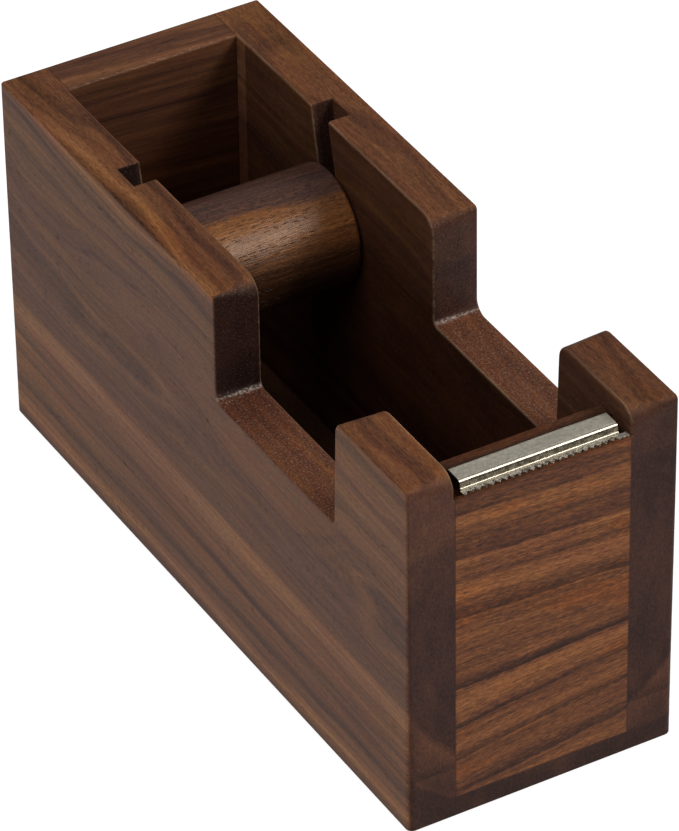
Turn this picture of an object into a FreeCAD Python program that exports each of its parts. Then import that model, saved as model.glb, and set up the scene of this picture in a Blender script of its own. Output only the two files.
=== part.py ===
import FreeCAD, Part
import os

import Sketcher

# A free-standing tape dispenser for narrow rolls on one-inch cores.
#
# Five walnut boards are glued up round an open well: two long side panels, a base between them, and a
# block across each end.  The glued-up case is then routed and sanded as one piece, so its form is
# modelled once, as "carcass", and each board is the part of that form that lies in the board's own place.
# Blind dowels hold the end grain of the two blocks to the side panels.  A wooden roller turns on a steel
# axle whose ends drop into slanted slots in the side panels, and a folded serrated blade is pressed into
# a saw kerf across the front block.  Four thin pads keep the case from sliding.
#
# Frame: X is the width, Y the length with the blade at the low end, Z is up.  The origin is on the
# surface that the pads stand on, under the middle of the case.  Everything is in millimetres.

DIMENSIONS = [
    # the case
    ("case_width", 55.0, "outside width of the case"),
    ("case_length", 148.5, "outside length of the case"),
    ("back_height", 75.7, "height of the tall back section above the case's underside"),
    ("horn_height", 75.5, "height of the two posts beside the blade"),
    ("low_height", 52.7, "height of the low section between the posts and the back section"),
    ("step_ahead", 6.7, "how far ahead of mid-length the back section starts"),
    ("horn_length", 25.4, "length of the posts beside the blade, at their foot"),
    ("horn_lean", 0.9, "how much shorter the posts are at the top than at the foot"),
    ("side_thickness", 9.55, "thickness of the side panels"),
    ("base_thickness", 4.4, "thickness of the base board"),
    ("front_block_thickness", 9.95, "thickness of the block under the blade"),
    ("back_block_thickness", 8.9, "thickness of the block at the back"),
    # sanded corners and edges
    ("corner_outer_radius", 0.9, "profile corners, at the outside face of a panel"),
    ("corner_inner_radius", 3.9, "profile corners, at the inside face of a panel"),
    ("horn_back_outer_radius", 2.3, "upper back corner of the posts, at the outside face"),
    ("horn_back_inner_radius", 3.2, "upper back corner of the posts, at the inside face"),
    ("step_cove_outer_radius", 2.7, "hollow corner at the foot of the back section, at the outside face"),
    ("step_cove_inner_radius", 1.4, "hollow corner at the foot of the back section, at the inside face"),
    ("outside_edge_radius", 0.5, "rounding of the outside edges"),
    ("upright_foot_radius", 1.3, "rounding of the four upright edges at their foot"),
    ("rim_edge_radius", 0.6, "rounding of the edges round the well"),
    ("mouth_edge_radius", 0.35, "rounding of the mouths of the axle slots"),
    # the bay for the blade, in the top of the front block
    ("ledge_height", 70.3, "height of the ledge that the blade's lip lies on"),
    ("ridge_height", 71.1, "height of the ridge behind the blade"),
    ("ledge_width", 0.8, "width of the ledge, in front of the trough"),
    ("trough_depth", 3.0, "depth below the ledge of the trough under the blade"),
    ("kerf_width", 0.45, "width of the saw kerf that holds the blade"),
    ("kerf_depth", 6.0, "depth of the kerf below the ledge"),
    ("kerf_setback", 6.05, "from the front of the case to the front wall of the kerf"),
    # the blade, folded from sheet
    ("sheet_thickness", 0.4, "thickness of the blade's sheet"),
    ("blade_left", 15.7, "reach of the blade's flat to the left of the middle"),
    ("blade_right", 16.3, "reach of the blade's flat to the right of the middle"),
    ("lip_left", 16.0, "reach of the toothed lip to the left of the middle"),
    ("lip_right", 17.6, "reach of the toothed lip to the right of the middle"),
    ("lip_setback", 0.3, "from the front of the case to the tips of the teeth"),
    ("lip_end_depth", 1.1, "depth of the lip where it reaches past the ends of the flat"),
    ("flat_height", 72.35, "height of the top of the blade's flat"),
    ("flat_front", 2.2, "from the front of the case to the front of the blade's flat"),
    ("riser_foot", 1.9, "from the front of the case to the foot of the blade's riser"),
    ("riser_width", 0.45, "thickness of the leaning riser, measured along Y"),
    ("front_bend_radius", 0.9, "outside radius of the bend at the front of the flat"),
    ("back_bend_radius", 0.7, "outside radius of the bend at the back of the flat"),
    ("inner_bend_radius", 0.3, "inside radius of the blade's bends"),
    ("tooth_pitch", 1.35, "distance from tooth to tooth"),
    ("tooth_margin", 0.6, "plain length at each end of the lip, before the teeth start"),
    ("notch_width", 1.2, "width of the notches between the teeth, at the lip's edge"),
    ("tooth_depth", 0.55, "depth of the notches between the teeth"),
    ("flange_depth", 5.6, "how far the blade's rear flange reaches below the ledge"),
    # the roller, its axle and the slots
    ("axle_back", 29.7, "how far behind mid-length the axle rests"),
    ("axle_height", 54.3, "height of the axle above the case's underside"),
    ("axle_radius", 3.0, "radius of the steel axle"),
    ("axle_length", 44.6, "length of the steel axle"),
    ("axle_chamfer", 0.6, "chamfer on the ends of the axle"),
    ("slot_width", 6.2, "width of the slots that the axle drops into"),
    ("slot_depth", 4.7, "depth of the slots in the side panels"),
    ("slot_tilt", 12.5, "lean of the slots, in degrees: their mouths are further back"),
    ("roller_radius", 11.9, "radius of the roller that carries the core of a roll"),
    ("roller_length", 34.8, "length of the roller"),
    ("roller_bore_radius", 3.05, "radius of the bore through the roller"),
    ("roller_edge_radius", 0.8, "rounding of the roller's rims"),
    # dowels and pads
    ("dowel_radius", 2.0, "radius of the joint dowels"),
    ("dowel_in_panel", 6.3, "length of a dowel inside a side panel"),
    ("dowel_in_block", 11.7, "length of a dowel inside an end block"),
    ("dowel_low", 20.0, "height of the lower dowel of each joint"),
    ("dowel_high", 52.0, "height of the upper dowel of each joint"),
    ("foot_height", 1.2, "thickness of the anti-slip pads"),
    ("foot_radius", 5.0, "radius of the anti-slip pads"),
    ("foot_edge_radius", 0.3, "rounding of the pads' lower rims"),
    ("foot_side_inset", 9.0, "from the case's side to the middle of a pad"),
    ("foot_end_inset", 11.0, "from the case's end to the middle of a pad"),
]

CLEAR = 5.0  # how far a cutting shape runs past the face that it cuts through
NEAR = 0.02  # how close two places are to count as the same

doc = FreeCAD.newDocument("tape_dispenser")
sheet = doc.addObject("Spreadsheet::Sheet", "Sheet")
for row, (alias, value, note) in enumerate(DIMENSIONS, start=1):
    sheet.set(f"A{row}", alias.replace("_", " "))
    sheet.set(f"B{row}", str(value))
    sheet.set(f"C{row}", note)
    sheet.setAlias(f"B{row}", alias)
doc.recompute()


def value_of(expression):
    """The number that an expression on the sheet gives now."""
    return float(sheet.evalExpression(expression))


def bind(item, **expressions):
    """Tie properties of an object to expressions on the sheet."""
    for name, expression in expressions.items():
        item.setExpression(name.replace("__", "."), expression)


# ---------------------------------------------------------------- sketches and bodies


def origin_plane(body, role):
    """One of the body's own origin planes."""
    return next(item for item in body.Origin.OriginFeatures if item.Role == role)


def new_sketch(body, name, role):
    """An empty sketch on one of the body's origin planes."""
    sketch = body.newObject("Sketcher::SketchObject", name)
    sketch.AttachmentSupport = [(origin_plane(body, role), "")]
    sketch.MapMode = "FlatFace"
    return sketch


def pin_point(sketch, geometry, point, corner):
    """Hold one point of a sketch at a place that two expressions give."""
    for axis, expression in zip(("DistanceX", "DistanceY"), corner):
        constraint = Sketcher.Constraint(axis, -1, 1, geometry, point, value_of(expression))
        index = sketch.addConstraint(constraint)
        sketch.setExpression(f"Constraints[{index}]", expression)


def polygon_sketch(body, name, role, corners):
    """A closed outline of straight lines, with every corner placed by the sheet."""
    sketch = new_sketch(body, name, role)
    places = [FreeCAD.Vector(value_of(x), value_of(y), 0) for x, y in corners]
    for index, start in enumerate(places):
        sketch.addGeometry(Part.LineSegment(start, places[(index + 1) % len(places)]))
    for index, corner in enumerate(corners):
        line_before = (index - 1) % len(corners)
        sketch.addConstraint(Sketcher.Constraint("Coincident", line_before, 2, index, 1))
        pin_point(sketch, index, 1, corner)
    return sketch


def pad_across(body, sketch, name, length):
    """Extrude a sketch to both sides of its plane, to a total length."""
    pad = body.newObject("PartDesign::Pad", name)
    pad.Profile = sketch
    pad.SideType = "Symmetric"
    bind(pad, Length=length)
    return pad


def pocket_across(body, sketch, name, length):
    """Cut a sketch out to both sides of its plane, over a total length."""
    pocket = body.newObject("PartDesign::Pocket", name)
    pocket.Profile = sketch
    pocket.SideType = "Symmetric"
    bind(pocket, Length=length)
    return pocket


def edges_where(shape, test):
    """The numbers, from 1, of a shape's edges that pass a test."""
    return [number for number, edge in enumerate(shape.Edges, start=1) if test(edge)]


def edge_names(numbers):
    """Edge numbers as the names that a feature's Base takes."""
    return [f"Edge{number}" for number in numbers]


def same(a, b):
    """Whether two places are the same for choosing edges."""
    return abs(a - b) < NEAR


def round_edges(body, feature, name, numbers, radius):
    """Round some edges of a body's last feature with one radius."""
    fillet = body.newObject("PartDesign::Fillet", name)
    fillet.Base = (feature, edge_names(numbers))
    bind(fillet, Radius=radius)
    return fillet


# ---------------------------------------------------------------- the case, before it is parted into boards

ZERO = "0 * Sheet.case_length"  # nought, as an expression that a sketch or a placement takes
FRONT = "-Sheet.case_length / 2"
BACK = "Sheet.case_length / 2"
STEP = "-Sheet.step_ahead"
HORN_BACK = "-Sheet.case_length / 2 + Sheet.horn_length"
HORN_TOP_BACK = "-Sheet.case_length / 2 + Sheet.horn_length - Sheet.horn_lean"
WELL_FRONT = "-Sheet.case_length / 2 + Sheet.front_block_thickness"
WELL_BACK = "Sheet.case_length / 2 - Sheet.back_block_thickness"
WELL_HALF = "(Sheet.case_width / 2 - Sheet.side_thickness)"
WELL_WIDTH = "(Sheet.case_width - 2 * Sheet.side_thickness)"
KERF_FRONT = "(-Sheet.case_length / 2 + Sheet.kerf_setback)"


def make_case_body():
    """The glued-up and routed case: outline, well, blade bay and axle slots."""
    body = doc.addObject("PartDesign::Body", "case_body")
    bind(body, Placement__Base__z="Sheet.foot_height")

    outline = polygon_sketch(body, "case_outline", "YZ_Plane", [
        (FRONT, ZERO),
        (BACK, ZERO),
        (BACK, "Sheet.back_height"),
        (STEP, "Sheet.back_height"),
        (STEP, "Sheet.low_height"),
        (HORN_BACK, "Sheet.low_height"),
        (HORN_TOP_BACK, "Sheet.horn_height"),
        (FRONT, "Sheet.horn_height"),
    ])
    pad_across(body, outline, "case_block", "Sheet.case_width")

    well = polygon_sketch(body, "well_outline", "YZ_Plane", [
        (WELL_FRONT, "Sheet.base_thickness"),
        (WELL_BACK, "Sheet.base_thickness"),
        (WELL_BACK, f"Sheet.back_height + {CLEAR}"),
        (WELL_FRONT, f"Sheet.back_height + {CLEAR}"),
    ])
    pocket_across(body, well, "well", WELL_WIDTH)

    bay = polygon_sketch(body, "bay_outline", "YZ_Plane", [
        (f"{FRONT} - {CLEAR}", "Sheet.ledge_height"),
        (f"{FRONT} + Sheet.ledge_width", "Sheet.ledge_height"),
        (f"{FRONT} + Sheet.ledge_width", "Sheet.ledge_height - Sheet.trough_depth"),
        (KERF_FRONT, "Sheet.ledge_height - Sheet.trough_depth"),
        (KERF_FRONT, "Sheet.ledge_height - Sheet.kerf_depth"),
        (f"{KERF_FRONT} + Sheet.kerf_width", "Sheet.ledge_height - Sheet.kerf_depth"),
        (f"{KERF_FRONT} + Sheet.kerf_width", "Sheet.ridge_height"),
        (f"{WELL_FRONT} + {CLEAR}", "Sheet.ridge_height"),
        (f"{WELL_FRONT} + {CLEAR}", f"Sheet.back_height + {CLEAR}"),
        (f"{FRONT} - {CLEAR}", f"Sheet.back_height + {CLEAR}"),
    ])
    pocket_across(body, bay, "blade_bay", WELL_WIDTH)

    across_y = "Sheet.slot_width / 2 * cos(Sheet.slot_tilt)"
    across_z = "Sheet.slot_width / 2 * sin(Sheet.slot_tilt)"
    run_y = "(Sheet.back_height - Sheet.axle_height + Sheet.slot_width) * tan(Sheet.slot_tilt)"
    run_z = "(Sheet.back_height - Sheet.axle_height + Sheet.slot_width)"
    slot_span = f"{WELL_WIDTH} + 2 * Sheet.slot_depth"
    slot = polygon_sketch(body, "slot_outline", "YZ_Plane", [
        (f"Sheet.axle_back - {across_y}", f"Sheet.axle_height + {across_z}"),
        (f"Sheet.axle_back + {across_y}", f"Sheet.axle_height - {across_z}"),
        (f"Sheet.axle_back + {across_y} + {run_y}", f"Sheet.axle_height - {across_z} + {run_z}"),
        (f"Sheet.axle_back - {across_y} + {run_y}", f"Sheet.axle_height + {across_z} + {run_z}"),
    ])
    pocket_across(body, slot, "axle_slots", slot_span)

    seat = new_sketch(body, "seat_outline", "YZ_Plane")
    radius = value_of("Sheet.slot_width / 2")
    centre = FreeCAD.Vector(value_of("Sheet.axle_back"), value_of("Sheet.axle_height"), 0)
    seat.addGeometry(Part.Circle(centre, FreeCAD.Vector(0, 0, 1), radius))
    pin_point(seat, 0, 3, ("Sheet.axle_back", "Sheet.axle_height"))
    radius_index = seat.addConstraint(Sketcher.Constraint("Radius", 0, radius))
    seat.setExpression(f"Constraints[{radius_index}]", "Sheet.slot_width / 2")
    pocket_across(body, seat, "axle_seats", slot_span)
    doc.recompute()
    return body


def place_of(edge):
    """The middle of an edge's bounding box."""
    return edge.BoundBox.Center


def runs_along_x(edge):
    """Whether an edge is a straight run along X."""
    box = edge.BoundBox
    return box.YLength < NEAR and box.ZLength < NEAR


def in_side_plane(edge, half_width):
    """Whether an edge lies in one of the two upright planes at plus and minus half_width."""
    box = edge.BoundBox
    return box.XLength < NEAR and same(abs(box.XMin), half_width)


def new_fillet(base, name, picks):
    """Round edges of a finished shape: picks holds (edge number, first radius, last radius)."""
    fillet = doc.addObject("Part::Fillet", name)
    fillet.Base = base
    fillet.Edges = picks
    doc.recompute()
    return fillet


def round_case(body):
    """Sand the corners and edges of the glued-up case."""
    foot = value_of("foot_height")
    case_half = value_of("case_width / 2")
    well_half = value_of("case_width / 2 - side_thickness")
    outer = value_of("corner_outer_radius")
    inner = value_of("corner_inner_radius")
    post_back = (value_of("horn_back_outer_radius"), value_of("horn_back_inner_radius"))
    step_cove = (value_of("step_cove_outer_radius"), value_of("step_cove_inner_radius"))
    rim_radius = value_of("rim_edge_radius")
    mouth_radius = value_of("mouth_edge_radius")
    outside_radius = value_of("outside_edge_radius")
    foot_radius = value_of("upright_foot_radius")
    front, step = value_of(FRONT), value_of(STEP)
    well_front, well_back = value_of(WELL_FRONT), value_of(WELL_BACK)
    post_foot_back, post_top_back = value_of(HORN_BACK), value_of(HORN_TOP_BACK)
    low = foot + value_of("low_height")
    ledge = foot + value_of("ledge_height")
    post_top = foot + value_of("horn_height")
    top = foot + value_of("back_height")

    # The profile's corners are sanded more on the inside of a panel than on the outside.
    corner_radii = {
        (front, post_top): (outer, inner),
        (step, top): (outer, inner),
        (post_top_back, post_top): post_back,
        (post_foot_back, low): (rim_radius, rim_radius),
        (step, low): step_cove,
    }
    picks = []
    for number, edge in enumerate(body.Shape.Edges, start=1):
        if not runs_along_x(edge):
            continue
        for (y, z), (at_outside, at_inside) in corner_radii.items():
            if not (same(place_of(edge).y, y) and same(place_of(edge).z, z)):
                continue
            starts_outside = abs(edge.Vertexes[0].X) > abs(edge.Vertexes[-1].X)
            radii = (at_outside, at_inside) if starts_outside else (at_inside, at_outside)
            picks.append((number, *radii))
    corners = new_fillet(body, "case_corners", picks)

    def at_outside(edge):
        across_the_case = edge.BoundBox.XLength > 2 * case_half - NEAR
        return in_side_plane(edge, case_half) or across_the_case

    # The four upright edges are sanded more at the foot than at the top.
    picks = []
    for number in edges_where(corners.Shape, at_outside):
        edge = corners.Shape.Edges[number - 1]
        radii = (outside_radius, outside_radius)
        if edge.BoundBox.YLength < NEAR and same(edge.BoundBox.ZMin, foot) and edge.BoundBox.XLength < NEAR:
            starts_low = edge.Vertexes[0].Z < edge.Vertexes[-1].Z
            radii = (foot_radius, outside_radius) if starts_low else (outside_radius, foot_radius)
        picks.append((number, *radii))
    outside = new_fillet(corners, "case_outside", picks)

    profile = body.getObject("case_outline").Shape
    corner_reach = inner / 2  # the middle of a rounded corner lies no further than this inside the profile

    def on_top(edge):
        return edge.BoundBox.ZLength < NEAR and same(place_of(edge).z, top)

    def on_rim(edge):
        middle = place_of(edge)
        from_profile = profile.distToShape(Part.Vertex(0, middle.y, middle.z - foot))[0]
        in_blade_bay = middle.y < well_front and middle.z < ledge + NEAR
        along_panels = in_side_plane(edge, well_half) and from_profile < corner_reach and not in_blade_bay
        along_back_block = on_top(edge) and same(middle.y, well_back)
        return along_panels or along_back_block

    numbers = edges_where(outside.Shape, on_rim)
    rim = new_fillet(outside, "case_rim", [(n, rim_radius, rim_radius) for n in numbers])

    rim_end = well_half + rim_radius
    outside_start = case_half - outside_radius - NEAR

    def at_slot_mouth(edge):
        middle = place_of(edge)
        between_rims = rim_end < abs(middle.x) < outside_start
        return on_top(edge) and between_rims and step < middle.y < well_back

    numbers = edges_where(rim.Shape, at_slot_mouth)
    return new_fillet(rim, "case_mouths", [(n, mouth_radius, mouth_radius) for n in numbers])


# ---------------------------------------------------------------- dowels, and the boards of the case

SIDES = {"left": -1, "right": 1}
ENDS = {"front": -1, "back": 1}


def make_dowels(end, side):
    """The two blind dowels that join one end block to one side panel."""
    thickness = f"Sheet.{end}_block_thickness"
    across = f"{ENDS[end]} * (Sheet.case_length / 2 - {thickness} / 2)"
    inner_end = "Sheet.dowel_in_block" if side == "left" else "Sheet.dowel_in_panel"
    dowels = []
    for level in ("low", "high"):
        dowel = doc.addObject("Part::Cylinder", f"{end}_{side}_dowel_{level}")
        dowel.Placement.Rotation = FreeCAD.Rotation(FreeCAD.Vector(0, 1, 0), 90)
        bind(
            dowel,
            Radius="Sheet.dowel_radius",
            Height="Sheet.dowel_in_panel + Sheet.dowel_in_block",
            Placement__Base__x=f"{SIDES[side]} * {WELL_HALF} + {inner_end}"
                               " - Sheet.dowel_in_panel - Sheet.dowel_in_block",
            Placement__Base__y=across,
            Placement__Base__z=f"Sheet.foot_height + Sheet.dowel_{level}",
        )
        dowels.append(dowel)
    group = doc.addObject("Part::Compound", f"{end}_{side}_dowels")
    group.Links = dowels
    return group


def make_region(name, low, high):
    """A box of space between two corners, each given as three expressions."""
    region = doc.addObject("Part::Box", name)
    bind(
        region,
        Placement__Base__x=low[0],
        Placement__Base__y=low[1],
        Placement__Base__z=low[2],
        Length=f"({high[0]}) - ({low[0]})",
        Width=f"({high[1]}) - ({low[1]})",
        Height=f"({high[2]}) - ({low[2]})",
    )
    return region


def part_boards(case, dowel_groups):
    """Drill the case for its dowels and part it into its five boards."""
    drill = doc.addObject("Part::Compound", "dowel_holes")
    drill.Links = dowel_groups
    drilled = doc.addObject("Part::Cut", "case_drilled")
    drilled.Base = case
    drilled.Tool = drill

    left_end = f"-Sheet.case_width / 2 - {CLEAR}"
    right_end = f"Sheet.case_width / 2 + {CLEAR}"
    front_end = f"{FRONT} - {CLEAR}"
    back_end = f"{BACK} + {CLEAR}"
    bottom = f"Sheet.foot_height - {CLEAR}"
    base_top = "Sheet.foot_height + Sheet.base_thickness"
    top = f"Sheet.foot_height + Sheet.back_height + {CLEAR}"
    regions = {
        "left_side_panel": ((left_end, front_end, bottom), (f"-{WELL_HALF}", back_end, top)),
        "right_side_panel": ((WELL_HALF, front_end, bottom), (right_end, back_end, top)),
        "base_board": ((f"-{WELL_HALF}", front_end, bottom), (WELL_HALF, back_end, base_top)),
        "front_block": ((f"-{WELL_HALF}", front_end, base_top), (WELL_HALF, ZERO, top)),
        "back_block": ((f"-{WELL_HALF}", ZERO, base_top), (WELL_HALF, back_end, top)),
    }
    boards = []
    for name, (low, high) in regions.items():
        board = doc.addObject("Part::Common", name)
        board.Base = drilled
        board.Tool = make_region(f"{name}_region", low, high)
        boards.append(board)
    return boards


# ---------------------------------------------------------------- the blade

TEETH_FRONT = "-Sheet.case_length / 2 + Sheet.lip_setback"
RISER_FOOT = "-Sheet.case_length / 2 + Sheet.riser_foot"
FLAT_FRONT = "-Sheet.case_length / 2 + Sheet.flat_front"
LIP_TOP = "Sheet.ledge_height + Sheet.sheet_thickness"
RISER_LEAN = f"((Sheet.flat_front - Sheet.riser_foot) / (Sheet.flat_height - {LIP_TOP}))"
UNDER_RISER = f"(Sheet.riser_width - Sheet.sheet_thickness * {RISER_LEAN})"
FLANGE_FRONT = f"{KERF_FRONT} + (Sheet.kerf_width - Sheet.sheet_thickness) / 2"
FLANGE_BACK = f"{KERF_FRONT} + (Sheet.kerf_width + Sheet.sheet_thickness) / 2"
FLANGE_FOOT = "Sheet.ledge_height - Sheet.flange_depth"


def pad_two_ways(body, sketch, name, right, left):
    """Extrude a sketch by one length to the right and another to the left."""
    pad = body.newObject("PartDesign::Pad", name)
    pad.Profile = sketch
    pad.SideType = "Two sides"
    bind(pad, Length=right, Length2=left)
    return pad


def make_blade():
    """The folded blade: toothed lip, leaning riser, flat, and a flange that stands in the kerf."""
    body = doc.addObject("PartDesign::Body", "cutting_blade")
    bind(body, Placement__Base__z="Sheet.foot_height")
    fold = polygon_sketch(body, "fold_outline", "YZ_Plane", [
        (TEETH_FRONT, "Sheet.ledge_height"),
        (TEETH_FRONT, LIP_TOP),
        (RISER_FOOT, LIP_TOP),
        (FLAT_FRONT, "Sheet.flat_height"),
        (FLANGE_BACK, "Sheet.flat_height"),
        (FLANGE_BACK, FLANGE_FOOT),
        (FLANGE_FRONT, FLANGE_FOOT),
        (FLANGE_FRONT, "Sheet.flat_height - Sheet.sheet_thickness"),
        (f"{FLAT_FRONT} + {UNDER_RISER}", "Sheet.flat_height - Sheet.sheet_thickness"),
        (f"{RISER_FOOT} + {UNDER_RISER}", "Sheet.ledge_height"),
    ])
    strip = pad_two_ways(body, fold, "folded_strip", "Sheet.blade_right", "Sheet.blade_left")
    doc.recompute()

    lip_top = value_of(LIP_TOP)
    riser_back = value_of(f"{FLAT_FRONT} + {UNDER_RISER}")
    flat_top = value_of("flat_height")
    flat_under = value_of("flat_height - sheet_thickness")
    bends = {
        "front_bend": ("Sheet.front_bend_radius", value_of(FLAT_FRONT), flat_top),
        "back_bend": ("Sheet.back_bend_radius", value_of(FLANGE_BACK), flat_top),
        "riser_bend": ("Sheet.inner_bend_radius", value_of(RISER_FOOT), lip_top),
        "front_bend_inside": ("Sheet.inner_bend_radius", riser_back, flat_under),
        "back_bend_inside": ("Sheet.inner_bend_radius", value_of(FLANGE_FRONT), flat_under),
    }
    feature = strip
    for name, (radius, y, z) in bends.items():
        def at_bend(edge):
            return runs_along_x(edge) and same(place_of(edge).y, y) and same(place_of(edge).z, z)

        feature = round_edges(body, feature, name, edges_where(feature.Shape, at_bend), radius)
        doc.recompute()

    lip = polygon_sketch(body, "lip_outline", "YZ_Plane", [
        (TEETH_FRONT, "Sheet.ledge_height"),
        (TEETH_FRONT, LIP_TOP),
        (f"{TEETH_FRONT} + Sheet.lip_end_depth", LIP_TOP),
        (f"{TEETH_FRONT} + Sheet.lip_end_depth", "Sheet.ledge_height"),
    ])
    pad_two_ways(body, lip, "lip", "Sheet.lip_right", "Sheet.lip_left")

    # The notches start past the plain left end of the lip and go on for as long as a whole one fits.
    notch_count = int(value_of("(lip_left + lip_right - 2 * tooth_margin) / tooth_pitch"))
    first = "(-Sheet.lip_left + Sheet.tooth_margin + Sheet.tooth_pitch / 2)"
    half_notch = "Sheet.notch_width / 2"
    notch = polygon_sketch(body, "notch_outline", "XY_Plane", [
        (first, f"{TEETH_FRONT} + Sheet.tooth_depth"),
        (f"{first} - {half_notch}", TEETH_FRONT),
        (f"{first} - {half_notch}", f"{TEETH_FRONT} - {CLEAR}"),
        (f"{first} + {half_notch}", f"{TEETH_FRONT} - {CLEAR}"),
        (f"{first} + {half_notch}", TEETH_FRONT),
    ])
    notch_pocket = pocket_across(body, notch, "notch", f"2 * ({LIP_TOP} + {CLEAR})")
    doc.recompute()
    teeth = body.newObject("PartDesign::LinearPattern", "teeth")
    teeth.Originals = [notch_pocket]
    teeth.Direction = (notch, ["H_Axis"])
    teeth.Occurrences = notch_count
    bind(teeth, Length=f"{notch_count - 1} * Sheet.tooth_pitch")
    body.Tip = teeth
    return body


# ---------------------------------------------------------------- the roller and its axle


def turn_about_x(body, sketch, name):
    """Revolve a sketch about its own horizontal axis."""
    turned = body.newObject("PartDesign::Revolution", name)
    turned.Profile = sketch
    turned.ReferenceAxis = (sketch, ["H_Axis"])
    turned.Angle = 360
    return turned


def put_on_axle(body):
    """Place a turned piece on the axis where the axle rests."""
    bind(
        body,
        Placement__Base__y="Sheet.axle_back",
        Placement__Base__z="Sheet.foot_height + Sheet.axle_height",
    )


def make_axle():
    """The steel axle, chamfered at both ends."""
    body = doc.addObject("PartDesign::Body", "roller_axle")
    put_on_axle(body)
    half = "Sheet.axle_length / 2"
    section = polygon_sketch(body, "axle_section", "XY_Plane", [
        (f"-{half}", ZERO),
        (f"-{half}", "Sheet.axle_radius - Sheet.axle_chamfer"),
        (f"-{half} + Sheet.axle_chamfer", "Sheet.axle_radius"),
        (f"{half} - Sheet.axle_chamfer", "Sheet.axle_radius"),
        (half, "Sheet.axle_radius - Sheet.axle_chamfer"),
        (half, ZERO),
    ])
    turn_about_x(body, section, "axle_turned")
    return body


def make_roller():
    """The wooden roller, bored through and rounded at both rims."""
    body = doc.addObject("PartDesign::Body", "tape_roller")
    put_on_axle(body)
    half = "Sheet.roller_length / 2"
    section = polygon_sketch(body, "roller_section", "XY_Plane", [
        (f"-{half}", "Sheet.roller_bore_radius"),
        (f"-{half}", "Sheet.roller_radius"),
        (half, "Sheet.roller_radius"),
        (half, "Sheet.roller_bore_radius"),
    ])
    turned = turn_about_x(body, section, "roller_turned")
    doc.recompute()
    rim_radius = value_of("roller_radius")

    def at_rim(edge):
        return isinstance(edge.Curve, Part.Circle) and same(edge.Curve.Radius, rim_radius)

    round_edges(body, turned, "roller_rims", edges_where(turned.Shape, at_rim), "Sheet.roller_edge_radius")
    return body


# ---------------------------------------------------------------- the pads


def make_pad(end, side):
    """One round anti-slip pad, its lower rim rounded."""
    disc = doc.addObject("Part::Cylinder", f"{end}_{side}_disc")
    bind(
        disc,
        Radius="Sheet.foot_radius",
        Height="Sheet.foot_height",
        Placement__Base__x=f"{SIDES[side]} * (Sheet.case_width / 2 - Sheet.foot_side_inset)",
        Placement__Base__y=f"{ENDS[end]} * (Sheet.case_length / 2 - Sheet.foot_end_inset)",
    )
    doc.recompute()

    def at_floor(edge):
        return edge.BoundBox.ZLength < NEAR and same(place_of(edge).z, 0)

    radius = value_of("foot_edge_radius")
    numbers = edges_where(disc.Shape, at_floor)
    return new_fillet(disc, f"{end}_{side}_pad", [(n, radius, radius) for n in numbers])


# ---------------------------------------------------------------- build, check and write

case_body = make_case_body()
case = round_case(case_body)
corners = [(end, side) for end in ENDS for side in SIDES]
dowel_groups = [make_dowels(end, side) for end, side in corners]
nodes = part_boards(case, dowel_groups)
nodes += dowel_groups
nodes.append(make_blade())
nodes.append(make_axle())
nodes.append(make_roller())
nodes += [make_pad(end, side) for end, side in corners]
doc.recompute()

for item in doc.Objects:
    if any(word in str(item.State) for word in ("Invalid", "Error")):
        raise RuntimeError(f"{item.Name} failed to build: {item.State}")

os.makedirs("parts", exist_ok=True)
for node in nodes:
    node.Label = node.Name
    if node.Shape.isNull() or not node.Shape.isValid():
        raise RuntimeError(f"{node.Label} has no sound shape")
    node.Shape.exportStep(f"parts/{node.Label}.step")
    box = node.Shape.BoundBox
    print(f"{node.Label}: {len(node.Shape.Solids)} solid(s), {node.Shape.Volume:.1f} mm3, "
          f"x {box.XMin:.2f}..{box.XMax:.2f}, y {box.YMin:.2f}..{box.YMax:.2f}, "
          f"z {box.ZMin:.2f}..{box.ZMax:.2f}")
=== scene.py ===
import math

import bpy
from mathutils import Matrix, Vector


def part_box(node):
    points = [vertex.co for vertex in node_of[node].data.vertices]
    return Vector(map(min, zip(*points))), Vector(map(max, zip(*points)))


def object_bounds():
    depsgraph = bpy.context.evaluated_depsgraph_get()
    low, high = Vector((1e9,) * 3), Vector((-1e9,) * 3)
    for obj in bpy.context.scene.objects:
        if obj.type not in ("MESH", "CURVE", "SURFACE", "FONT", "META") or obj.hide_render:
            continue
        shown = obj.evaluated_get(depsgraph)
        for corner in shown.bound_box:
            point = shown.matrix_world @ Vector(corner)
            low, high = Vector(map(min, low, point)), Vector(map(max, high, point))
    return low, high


# A walnut desk tape dispenser.  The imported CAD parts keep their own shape; this script gives each of them
# its material, stands them on a pale floor under soft light and sets the camera.  The scene is in metres;
# the materials count in millimetres, from the middle of the case on the floor.

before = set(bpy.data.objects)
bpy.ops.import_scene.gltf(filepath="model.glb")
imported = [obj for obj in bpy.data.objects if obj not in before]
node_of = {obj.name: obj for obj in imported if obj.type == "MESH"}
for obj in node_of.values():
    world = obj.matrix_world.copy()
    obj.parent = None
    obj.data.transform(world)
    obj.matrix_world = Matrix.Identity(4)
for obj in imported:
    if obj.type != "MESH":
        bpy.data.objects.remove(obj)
cad_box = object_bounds()
scene = bpy.context.scene

MM = 0.001  # one millimetre


def extent(node):
    """The lowest and highest corner of a CAD part, in millimetres."""
    lowest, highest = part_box(node)
    return [value / MM for value in lowest], [value / MM for value in highest]


front_block_low, front_block_high = extent("front_block")
back_block_low = extent("back_block")[0]
roller_low, roller_high = extent("tape_roller")
blade_low, blade_high = extent("cutting_blade")
axle_high = extent("roller_axle")[1]
panel_high = extent("left_side_panel")[1]

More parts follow.
